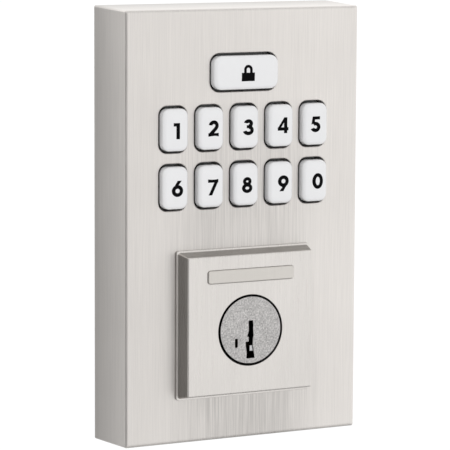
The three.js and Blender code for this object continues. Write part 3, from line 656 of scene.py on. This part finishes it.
def trim():
    low, high, centre, side, _ = measures("cylinder_trim")
    shape = Shape()

    # A thin flange lies on the housing, the wall tapers in from it, and a small round meets the face.
    flange_y = high.y - TRIM_FOOT["thick"]
    top_inset = TRIM_FOOT["wide"] + TRIM_TAPER
    levels = [(0, high.y), *((inset, flange_y + drop) for inset, drop in round_edge(TRIM_FOOT["round"], 3)),
              (TRIM_FOOT["wide"], flange_y),
              *((top_inset + inset, low.y + drop) for inset, drop in round_edge(TRIM_EDGE))]
    base, face = shape.stack(block(side, side, TRIM_CORNER, 0, centre.z, 0.4, 0.3), levels)

    _, badge_high, spot, badge_width, badge_height = measures("name_badge")
    seat_outline = rounded(badge_width + 2 * FIT, badge_height + 2 * FIT, BADGE_CORNER + FIT, spot.x, spot.z)
    seat = shape.pit(seat_outline, low.y, badge_high.y + FIT)

    step_y = low.y + TRIM_LIP
    edge = [(-drop, low.y + inset) for inset, drop in round_edge(TRIM_BORE_EDGE, 3)]
    mouth, lip = shape.stack(disc(TRIM_BORE, *TRIM_BORE_AT, 96), [*edge, (0, step_y)])
    step, bore = shape.tunnel(circle(BARREL_BORE, steps=96), step_y, high.y)
    shape.flat(step, lip)
    screw_mouths = [shape.pit(circle(TRIM_SCREW_HOLE, *at, 24), high.y, TRIM_SCREW_HOLE_END)
                    for at in CYLINDER_SCREWS]
    shape.flat(base, bore, *screw_mouths)
    shape.flat(face, mouth, seat)
    piece("trim_square", shape, "lock_body", "satin_nickel", ["cylinder_trim"])


def badge():
    low, high, centre, width, height = measures("name_badge")
    shape = Shape()
    levels = [(0, high.y), *((inset, low.y + drop) for inset, drop in round_edge(BADGE_EDGE))]
    for face in shape.stack(block(width, height, BADGE_CORNER, centre.x, centre.z, 1), levels):
        shape.flat(face)
    piece("badge_bar", shape, "lock_body", "badge_nickel", ["name_badge"])


# ---------------------------------------------------------------- caps and legends

def key_cap(key):
    low, high = span(f"button_{key}")
    x, z, hole_width, hole_height, corner = key_opening(key)
    width = hole_width - 2 * CAP_GAP
    height = hole_height - 2 * CAP_GAP_Z
    half = min(width, height) / 2
    flange = block(hole_width + 2 * CAP_FLANGE, hole_height + 2 * CAP_FLANGE, corner + CAP_FLANGE, x, z, 1)
    section = block(width, height, corner - CAP_GAP, x, z, 0.75, 0.35)
    flange_front = high.y - CAP_FLANGE_THICK
    ease = CAP_FLANGE_EDGE
    shape = Shape()
    rings = [shape.ring(flange(inset), y) for inset, y in (
        (ease, high.y), (0, high.y - ease), (0, flange_front + ease), (ease, flange_front))]

    levels = [(0, flange_front)]
    levels += [(inset, low.y + CAP_CROWN + drop * (1 - CAP_CROWN / CAP_EDGE))
               for inset, drop in round_edge(CAP_EDGE, 10)]
    for step in range(1, CROWN_STEPS + 1):
        share = step / CROWN_STEPS
        levels.append((CAP_EDGE + (half - CAP_EDGE - 0.25) * share, low.y + CAP_CROWN * (1 - share) ** 2))
    rings += [shape.ring(section(inset), y) for inset, y in levels]
    shape.wall(*rings)
    shape.flat(rings[0])
    shape.flat(rings[-1])
    return piece(f"cap_{key}", shape, f"key_{key}", "button_white", [f"button_{key}"], 60)


def anticlockwise(stroke):
    """The same outline, run anticlockwise."""
    area = sum(a[0] * b[1] - b[0] * a[1] for a, b in zip(stroke, stroke[1:] + stroke[:1]))
    return stroke if area > 0 else stroke[::-1]


def bar(a, b, width=STROKE):
    """A straight stroke with square ends."""
    run = Vector(b) - Vector(a)
    side = Vector((-run.y, run.x)).normalized() * width / 2
    corners = (Vector(a) + side, Vector(b) + side, Vector(b) - side, Vector(a) - side)
    return [tuple(corner) for corner in corners]


def box_stroke(left, right, bottom, top):
    return [(left, bottom), (right, bottom), (right, top), (left, top)]


def bow(centre, radii, start, end, width=STROKE, steps=28):
    """A curved stroke: the band inside an ellipse between two angles in degrees."""
    turns = [math.radians(start + (end - start) * step / steps) for step in range(steps + 1)]
    outside = [(centre[0] + radii[0] * math.cos(t), centre[1] + radii[1] * math.sin(t)) for t in turns]
    inside = [(centre[0] + (radii[0] - width) * math.cos(t), centre[1] + (radii[1] - width) * math.sin(t))
              for t in turns]
    return outside + inside[::-1]


def ellipse_band(centre, radii, width=STROKE):
    return [bow(centre, radii, 0, 180, width), bow(centre, radii, 180, 360, width)]


def half_turn(strokes):
    return [[(-p[0], -p[1]) for p in stroke] for stroke in strokes]


SIX = [*ellipse_band((0, W - H), (W, W)), [(-1.36, -0.2), (0.02, H), (1.13, H), (-0.1, 0.45)]]
DIGITS = {
    "1": [[(-0.83, H), (0.83, H), (0.83, -H), (-0.12, -H), (-0.12, H - 0.85), (-0.83, H - 0.85)]],
    "2": [bow((0, H - 1.36), (1.36, 1.36), -42, 172), bar((0.7, 0.12), (-0.98, -1.62)),
          box_stroke(-1.45, 1.4, -H, -H + 0.86)],
    "3": [bow((-0.08, H - 1.13), (1.28, 1.13), -80, 165), bow((-0.08, 1.3 - H), (1.5, 1.3), -168, 82),
          box_stroke(-0.55, 0.15, -0.25, 0.55)],
    "4": [box_stroke(0.22, 1.15, -H, H), box_stroke(-1.5, 1.5, -1.36, -0.52),
          [(-1.5, -0.7), (0.28, H), (0.5, 1.2), (-0.62, -0.6)]],
    "5": [box_stroke(-0.78, 1.25, H - 0.83, H), [(-0.78, H), (-0.05, H), (-0.25, 0.3), (-1.12, -0.05)],
          bow((0, 1.36 - H), (1.38, 1.36), -158, 128)],
    "6": SIX,
    "7": [box_stroke(-1.4, 1.42, H - 0.85, H),
          [(0.3, H - 0.85), (1.42, H), (1.42, H - 0.5), (-0.3, -H), (-1.25, -H)]],
    "8": [*ellipse_band((0, H - 1.12), (1.17, 1.12), 0.85), *ellipse_band((0, 1.28 - H), (1.43, 1.28), 0.9)],
    "9": half_turn(SIX),
    "0": ellipse_band((0, 0), (W, H)),
}
PADLOCK = [
    box_stroke(-1.925, 1.925, -2.3, -0.03),
    bow((0, 0.825), (1.25, 1.25), 0, 180, 0.75),
    box_stroke(-1.25, -0.5, -0.2, 0.85),
    box_stroke(0.5, 1.25, -0.2, 0.85),
]


def legend(key, cap):
    """A printed mark on a cap: its strokes joined into one skin that follows the cap's crown."""
    low, _, centre, _, _ = measures(f"button_{key}")
    strokes = PADLOCK if key == "lock" else DIGITS[key]
    stretch = Vector((1.02, 1.0)) if key == "lock" else DIGIT_STRETCH
    points = []
    outlines = []
    for stroke in map(anticlockwise, strokes):
        outlines.append(list(range(len(points), len(points) + len(stroke))))
        points += [Vector((p[0], p[1])) * stretch + Vector(LEGEND_AT[key]) for p in stroke]
    # A grid of points between the strokes lets the skin follow the crown.
    points += [Vector((column, row)) * INK_GRID for column in range(-7, 8) for row in range(-8, 9)]
    spots, _, faces, _, _, sources = delaunay_2d_cdt(points, [], outlines, 1, 1e-4)
    surface = BVHTree.FromPolygons([v.co for v in cap.data.vertices], [p.vertices for p in cap.data.polygons])
    shape = Shape()
    shape.faces = [tuple(face) for face, source in zip(faces, sources) if source]
    for spot in spots:
        start = Vector((centre.x + spot.x, low.y - 5, centre.z + spot.y)) * MM
        hit = surface.ray_cast(start, Vector((0, 1, 0)))[0]
        y = (hit.y / MM if hit else low.y) - INK_PROUD
        shape.points.append((centre.x + spot.x, y, centre.z + spot.y))
    obj = piece(f"legend_{key}", shape, f"key_{key}", "button_white", look="ink")
    work = bmesh.new()
    work.from_mesh(obj.data)
    bmesh.ops.delete(work, geom=[v for v in work.verts if not v.link_faces], context="VERTS")
    for face in work.faces:
        if face.normal.y > 0:
            face.normal_flip()
    work.to_mesh(obj.data)
    work.free()
    thick = obj.modifiers.new("thickness", "SOLIDIFY")
    thick.thickness = 1.5 * INK_PROUD * MM
    thick.offset = -1


# ---------------------------------------------------------------- front pieces

housing()
trim()
badge()
for key_name in KEY_NAMES:
    legend(key_name, key_cap(key_name))

# ---------------------------------------------------------------- pieces behind the keypad

def thread(crest, root, pitch, start, end):
    """The inside profile of a threaded hole, as pairs of radius and Y, from its mouth to its foot."""
    count = int(abs(end - start) / pitch)
    step = (end - start) / count
    return [(radius, start + step * (turn + share)) for turn in range(count)
            for radius, share in ((root, 0.1), (crest, 0.5), (crest, 0.6))]


def back_plate():
    low, high, centre, width, height = measures("back_plate")
    front = high.y - PLATE_THICK
    shape = Shape()
    faces = shape.stack(block(width, height, PLATE_CORNER, 0, centre.z), slab(front, high.y, PLATE_EDGE))

    # Punched holes are sharp in front, with a small chamfer behind.
    punched = [disc(BARREL_RADIUS + BARREL_CLEARANCE, steps=96)]
    punched += [disc(POST_RADIUS + BARREL_CLEARANCE, *at, 48) for at in POSTS]
    punched.append(block(OUTLET_WIDTH, OUTLET_HEIGHT, OUTLET_CORNER, 0, OUTLET_Z, 1))
    levels = [(0, front), (0, high.y - PUNCH_EDGE), (-PUNCH_EDGE, high.y)]
    holes = [shape.stack(outline, levels) for outline in punched]
    holes += [shape.lathe([(1.6, front), (2.8, high.y)], *at, 40) for at in PLATE_SCREWS]
    feet = []
    for at in BOARD_POSTS:
        foot, end = shape.stack(disc(PLATE_LEG, *at, 32), [(0, front), (0, low.y + 0.2), (0.2, low.y)])
        shape.flat(end)
        feet.append(foot)
    shape.flat(faces[0], *(hole[0] for hole in holes), *feet)
    shape.flat(faces[1], *(hole[1] for hole in holes))
    piece("back_sheet", shape, "lock_body", "zinc_plate", ["back_plate"])


def gasket():
    """The foam ring: a rectangular section with its four corners rounded."""
    low, high, centre, width, height = measures("weather_gasket")
    thick = high.y - low.y
    section = rounded(GASKET_WIDTH, thick, GASKET_ROUND, GASKET_WIDTH / 2, low.y + thick / 2, 5)
    outline = block(width, height, PLATE_CORNER, 0, centre.z, 0.1, 0.3)
    shape = Shape()
    rings = [shape.ring(outline(inset), y) for inset, y in section]
    shape.wall(*rings, rings[0])
    piece("gasket_ring", shape, "lock_body", "foam_black", ["weather_gasket"], 50)


def mounting_post(side, at):
    low, high = span(f"mounting_post_{side}")
    crest, root, pitch, deep = POST_THREAD.values()
    shape = Shape()
    shape.turned([
        (0, low.y), (2.2, low.y), (2.5, low.y + 0.3), (2.5, POST_SHOULDER), (3.75, POST_SHOULDER),
        (POST_RADIUS, POST_SHOULDER + 0.25), (POST_RADIUS, high.y - 0.4), (3.9, high.y - 0.15), (3.6, high.y),
        (root + 0.5, high.y), (root, high.y - 0.5), *thread(crest, root, pitch, high.y - 0.5, deep),
        (root, deep), (1.7, 0.3), (0, 0.05),
    ], *at, steps=56)
    piece(f"post_{side}", shape, "lock_body", "steel", [f"mounting_post_{side}"])


def plate_screw(index, at):
    """A countersunk screw with a slot, and a coarse thread on its shank."""
    low, high = span(f"back_plate_screw_{index}")
    core, crest, turns = PLATE_SCREW.values()
    start = low.y + 1.2
    pitch = (high.y - 1.9 - start) / turns
    profile = [(0, low.y), (0.35, low.y + 0.15), (core, start)]
    profile += [(radius, start + pitch * (turn + share)) for turn in range(turns)
                for radius, share in ((core, 0.1), (crest, 0.45), (crest, 0.55), (core, 0.9))]
    profile += [(1.35, high.y - 1.5), (2.42, high.y - 0.12), (2.45, high.y)]
    shape = Shape()
    point, head = shape.lathe(profile, *at, 40)
    shape.flat(point)
    shape.flat(head, shape.pit(rounded(4.4, 0.6, 0.12, *at, 3), high.y, high.y - 0.7))
    piece(f"plate_screw_{index}", shape, "lock_body", "steel", [f"back_plate_screw_{index}"])


def spun(points, quarters, x=0.0, z=0.0):
    """Points in X and Z after some quarter turns, moved to a place."""
    turn = math.pi / 2 * quarters
    return [(x + px * math.cos(turn) - pz * math.sin(turn), z + px * math.sin(turn) + pz * math.cos(turn))
            for px, pz in points]


def bore_outline():
    """The barrel's bore, with three grooves for the locking bar."""
    wide, floor, narrow = GROOVE.values()
    half = math.asin(wide / BARREL_WALL_BORE)
    side = BARREL_WALL_BORE * math.cos(half)
    groove = [(side, -wide), (floor, -narrow), (floor, narrow), (side, wide)]
    points = []
    for quarter in range(4):
        plain = quarter == 2
        start = -half if plain else half
        turns = [start + (math.pi / 2 - half - start) * step / 24 for step in range(1, 24)]
        arc = on_circle(BARREL_WALL_BORE, turns)
        points += spun(arc if plain else groove + arc, quarter)
    return points


def barrel():
    """The barrel with a flange lobe above and below it, each with a screw hole."""
    low, high = span("cylinder_housing")
    shape = Shape()
    front, rear = shape.stack(disc(BARREL_RADIUS, steps=96), [
        (0.25, low.y), (0, low.y + 0.25), (0, high.y - 0.35), (0.1, high.y - 0.1), (0.35, high.y)])
    bore = shape.tunnel(bore_outline(), low.y, high.y)
    shape.flat(front, bore[0])
    shape.flat(rear, bore[1])

    # A lobe's inner edge is sunk a little into the barrel.
    seat = BARREL_RADIUS - 0.2
    reach = math.acos(LOBE["half_width"] / seat)
    arc = on_circle(seat, [math.pi - reach - (math.pi - 2 * reach) * step / 32 for step in range(33)])
    top = rounded(2 * LOBE["half_width"], 2 * high.z, LOBE["corner"])
    top = [point for point in top if point[1] > LOBE["from_z"]]
    for way, at in zip((1, -1), CYLINDER_SCREWS):
        lobe = shape.tunnel([(x, way * z) for x, z in top + arc], FLANGE_FRONT, FLANGE_BACK)
        hole = shape.tunnel(circle(TRIM_SCREW_HOLE, *at, 24), FLANGE_FRONT, FLANGE_BACK)
        shape.flat(lobe[0], hole[0])
        shape.flat(lobe[1], hole[1])
    piece("barrel", shape, "lock_body", "cast_zinc", ["cylinder_housing"])


def clip():
    """A spring clip, open below, with its edges rounded by stamping."""
    low, high = span("cylinder_clip")
    shape = Shape()

    def outline(inset):
        opening = CLIP_OPENING + inset / CLIP_INNER
        turns = [-math.pi / 2 + opening + 2 * (math.pi - opening) * step / 72 for step in range(73)]
        return on_circle(high.x - inset, turns) + on_circle(CLIP_INNER + inset, turns[::-1])

    for face in shape.stack(outline, slab(low.y, high.y, CLIP_EDGE)):
        shape.flat(face)
    piece("clip_ring", shape, "plug", "steel", ["cylinder_clip"])


def blade_section(share):
    """The blade's half-round section at a share of its size: a flat underside and a rounded back."""
    side = BLADE["half_width"] * share
    under = BLADE["underside"] * share
    points = [(side, under + 0.35), (side - 0.1, under + 0.1), (side - 0.35, under)]
    points += [(-x, z) for x, z in reversed(points)]
    turns = [math.pi * step / 24 for step in range(1, 24)]
    back = [(-side * math.cos(turn), (BLADE["back"] + BLADE["rise"] * math.sin(turn)) * share)
            for turn in turns]
    return anticlockwise(points + back)


def blade():
    """The blade on its disc, with a hole for each of its screws."""
    low, high = span("torque_blade")
    shape = Shape()
    front, back = shape.stack(disc(BLADE_DISC_RADIUS, steps=72), slab(low.y, BLADE_DISC_END, BLADE_DISC_EDGE))
    holes = [shape.tunnel(circle(BLADE_HOLE, *at, 24), low.y, BLADE_DISC_END) for at in BLADE_SCREWS]
    foot, tip = shape.stack(blade_section, [
        (1, BLADE_DISC_END), (1, high.y - 0.6), (0.94, high.y - 0.15), (0.86, high.y)])
    shape.flat(front, *(hole[0] for hole in holes))
    shape.flat(back, foot, *(hole[1] for hole in holes))
    shape.flat(tip)
    piece("blade", shape, "plug", "steel", ["torque_blade"])


def cross(x, z, reach, half):
    """A plus-shaped outline."""
    corner = [(reach, half), (half, half), (half, reach)]
    return [point for quarter in range(4) for point in spun(corner, quarter, x, z)]


def blade_screw(index, at):
    """A small pan-head screw with a cross recess."""
    low, high = span(f"blade_screw_{index}")
    seat = BLADE_DISC_END + FIT
    rim = seat + 0.45
    profile = [(0, low.y), (0.4, low.y), (0.7, low.y + 0.5), (0.7, seat), (1.4, seat), (1.4, rim)]
    profile += [(1.4 - 0.5 * inset, rim + 0.45 * (1 - drop)) for inset, drop in round_edge(1, 4)[1:]]
    shape = Shape()
    point, head = shape.lathe(profile, *at, 32)
    shape.flat(point)
    arms = [((0.75, 0.16), high.y), ((0.5, 0.1), high.y - 0.5)]
    recess, end = shape.stack(lambda arm: cross(*at, *arm), arms)
    shape.flat(head, recess)
    shape.flat(end)
    piece(f"drive_screw_{index}", shape, "plug", "steel", [f"blade_screw_{index}"])


def membrane():
    """The silicone sheet without its domes, with a window at each lamp."""
    _, _, centre, width, height = measures("keypad_membrane")
    shape = Shape()
    ease = SHEET_EDGE
    faces = shape.stack(block(width, height, 1.5, 0, centre.z), [
        (ease, SHEET_FRONT), (0, SHEET_FRONT + ease), (0, SHEET_BACK - ease), (ease, SHEET_BACK)])
    outlines = [circle(DOME_BASE, *at, 40) for at in centres("button_{}", KEY_NAMES)]
    for side in ("left", "right"):
        _, _, spot, wide, tall = measures(f"status_lamp_{side}")
        outlines.append(rounded(wide + LAMP_ROOM, tall + LAMP_ROOM, 0.4, spot.x, spot.z, 4))
    holes = [shape.tunnel(outline, SHEET_FRONT, SHEET_BACK) for outline in outlines]
    shape.flat(faces[0], *(hole[0] for hole in holes))
    shape.flat(faces[1], *(hole[1] for hole in holes))
    piece("membrane_sheet", shape, "lock_body", "silicone", ["keypad_membrane"])


def dome(key):
    """One hollow dome of the membrane, with its contact pill, under its key."""
    centre = middle(f"button_{key}")
    ceiling = DOME_FRONT + DOME_WALL
    pill_back = SHEET_BACK - CAP_TRAVEL
    shape = Shape()
    shape.turned([
        (0, DOME_FRONT), (DOME_TOP - 0.3, DOME_FRONT), (DOME_TOP, DOME_FRONT + 0.25),
        (DOME_TOP + 0.35, -13.5), (DOME_BASE - 0.05, SHEET_FRONT), (DOME_BASE - 0.05, SHEET_BACK),
        (DOME_BASE - DOME_WALL, SHEET_BACK), (DOME_TOP - DOME_WALL + 0.45, -13.1),
        (DOME_TOP - DOME_WALL, ceiling), (PILL_RADIUS, ceiling), (PILL_RADIUS, pill_back - 0.15),
        (PILL_RADIUS - 0.15, pill_back), (0, pill_back),
    ], centre.x, centre.z, steps=40)
    obj = piece(f"dome_{key}", shape, "lock_body", "silicone", ["keypad_membrane"])
    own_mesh(obj)


def spring_path(radius, wire, turns, start, end, steps=16):
    """A coil's centre line as side, rise and run; the first and last three quarters of a turn lie flat."""
    path = []
    total = turns + 1.5
    for step in range(int(total * steps) + 1):
        turn = step / steps
        if turn < 0.75:
            run = turn * 2 * wire / 0.75
        elif turn > total - 0.75:
            run = (end - start) - 2 * wire - (total - turn) * 2 * wire / 0.75
        else:
            run = 2 * wire + ((end - start) - 6 * wire) * (turn - 0.75) / turns
        angle = 2 * math.pi * turn
        path.append((radius * math.cos(angle), radius * math.sin(angle), start + wire + run))
    return path


def spring(name, node, axis, joint=None, turns=6):
    """A fine coil spring in the room of its CAD node, along one axis."""
    low, high = span(node)
    one, other = (axis + 1) % 3, (axis + 2) % 3
    wire = SPRING_WIRES[axis]
    radius = (high[one] - low[one]) / 2 - wire
    path = []
    for side, rise, run in spring_path(radius, wire, turns, low[axis], high[axis]):
        point = (low + high) / 2
        point[one] += side
        point[other] += rise
        point[axis] = run
        path.append(point)
    shape = Shape()
    shape.tube(path, wire)
    obj = piece(name, shape, "plug", "steel", [node])
    if joint:
        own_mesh(obj)


back_plate()
gasket()
for side, spot in zip(("left", "right"), POSTS):
    mounting_post(side, spot)
for number, spot in enumerate(PLATE_SCREWS, 1):
    plate_screw(number, spot)
barrel()
clip()
blade()
for number, spot in enumerate(BLADE_SCREWS, 1):
    blade_screw(number, spot)
membrane()
for key_name in KEY_NAMES:
    dome(key_name)
for number in range(1, 6):
    spring(f"lift_spring_{number}", f"pin_spring_{number}", 2, f"pin_lift_{number}")
for number in (1, 2):
    spring(f"bar_spring_{number}", f"sidebar_spring_{number}", 0, turns=3)
spring("return_spring", "carrier_spring", 1, "carrier_slide", 7)

# The edges of the smaller machined and moulded nodes are eased.
EASED = {
    "key_plug": 0.08, "circuit_board": 0.12, "control_chip": 0.15, "sounder": 0.4, "cable_header": 0.15,
    "status_lamp_left": 0.12, "status_lamp_right": 0.12, "cylinder_screw_1": 0.15, "cylinder_screw_2": 0.15,
    "keyway_guard": 0.1, "pin_cover": 0.1, "sidebar": 0.08, "rekey_carrier": 0.2,
    **{f"key_pin_{n}": 0.1 for n in range(1, 6)}, **{f"rack_{n}": 0.08 for n in range(1, 6)},
}
for name, width in EASED.items():
    ease = frame["nodes"][name].modifiers.new("eased edges", "BEVEL")
    ease.width = width * MM
    ease.segments = 2
    ease.limit_method = "ANGLE"
    ease.angle_limit = math.radians(40)

# ---------------------------------------------------------------- stage, light and camera

FLOOR_Z = -0.7
HALF_FLOOR = 30
WORLD_LIGHT = 1.12
LIT_POINT = Vector((0, 0, 0.028))  # what the studio cards face


def sheet(name, side, rise, material, at=(0, 0, 0)):
    """One flat face that only dresses the picture, given by half of each side."""
    side, rise, at = Vector(side), Vector(rise), Vector(at)
    mesh = bpy.data.meshes.new(name)
    corners = [at - side - rise, at + side - rise, at + side + rise, at - side + rise]
    mesh.from_pydata(corners, [], [(0, 1, 2, 3)])
    return new_object(name, mesh, material)


floor_look = Look("floor_paper", (0.93, 0.93, 0.93), 0.9)
floor_look.tint(floor_look.noise(40, 3), 0.995, 1.005)
floor = sheet("floor", (HALF_FLOOR, 0, 0), (0, HALF_FLOOR, 0), floor_look.material, (0, 0, FLOOR_Z))

world = bpy.data.worlds.new("studio")
bpy.context.scene.world = world
world.use_nodes = True
sky = world.node_tree.nodes["Background"]
sky.inputs["Color"].default_value = (1, 1, 1, 1)
sky.inputs["Strength"].default_value = WORLD_LIGHT


def card(name, azimuth, elevation, distance, width, height, light):
    """A studio card that shows in reflections but not to the camera, facing the lock."""
    look = bpy.data.materials.new(name)
    look.use_nodes = True
    nodes = look.node_tree.nodes
    nodes.clear()
    glow = nodes.new("ShaderNodeEmission")
    glow.inputs["Strength"].default_value = light
    out = nodes.new("ShaderNodeOutputMaterial")
    look.node_tree.links.new(glow.outputs[0], out.inputs["Surface"])
    obj = sheet(name, (width / 2, 0, 0), (0, 0, height / 2), look)
    a = math.radians(azimuth)
    e = math.radians(elevation)
    aim = Vector((math.sin(a) * math.cos(e), math.cos(a) * math.cos(e), math.sin(e)))
    turn = aim.to_track_quat("Y", "Z").to_matrix().to_4x4()
    obj.matrix_world = Matrix.Translation(LIT_POINT + aim * distance) @ turn
    obj.visible_camera = False
    obj.visible_diffuse = False
    obj.visible_shadow = False


# Azimuth here is the compass bearing from the lock: 0 is +Y, 90 is +X.
card("card_grey_front_left", 221, -5, 0.9, 1.5, 1.3, 0.36)
card("card_grey_left", 325, -22, 0.9, 1.0, 1.0, 0.53)
card("card_grey_above", 148, 38, 0.9, 0.9, 0.5, 0.75)
card("card_grey_below", 150, -90, 0.3, 0.75, 0.75, 0.55)

AZIMUTH = math.radians(-27.345)
ELEVATION = math.radians(7.490)
ROLL = math.radians(0.267)
DISTANCE = 0.76173
TARGET = Vector((0.00403, 0, 0.025505))
LENS = 220.70
right = Vector((math.cos(AZIMUTH), math.sin(AZIMUTH), 0))
level_back = Vector((math.sin(AZIMUTH), -math.cos(AZIMUTH), 0))
back = math.cos(ELEVATION) * level_back + math.sin(ELEVATION) * Vector((0, 0, 1))
up = back.cross(right)
side_axis = math.cos(ROLL) * right + math.sin(ROLL) * up
up_axis = -math.sin(ROLL) * right + math.cos(ROLL) * up
camera_data = bpy.data.cameras.new("camera")
camera_data.lens = LENS
camera_data.sensor_width = 36
camera_data.clip_start = 0.01
camera = bpy.data.objects.new("camera", camera_data)
bpy.context.collection.objects.link(camera)
turn = Matrix((side_axis, up_axis, back)).transposed().to_4x4()
camera.matrix_world = Matrix.Translation(TARGET + back * DISTANCE) @ turn
bpy.context.scene.camera = camera
bpy.context.scene.view_settings.view_transform = "Standard"
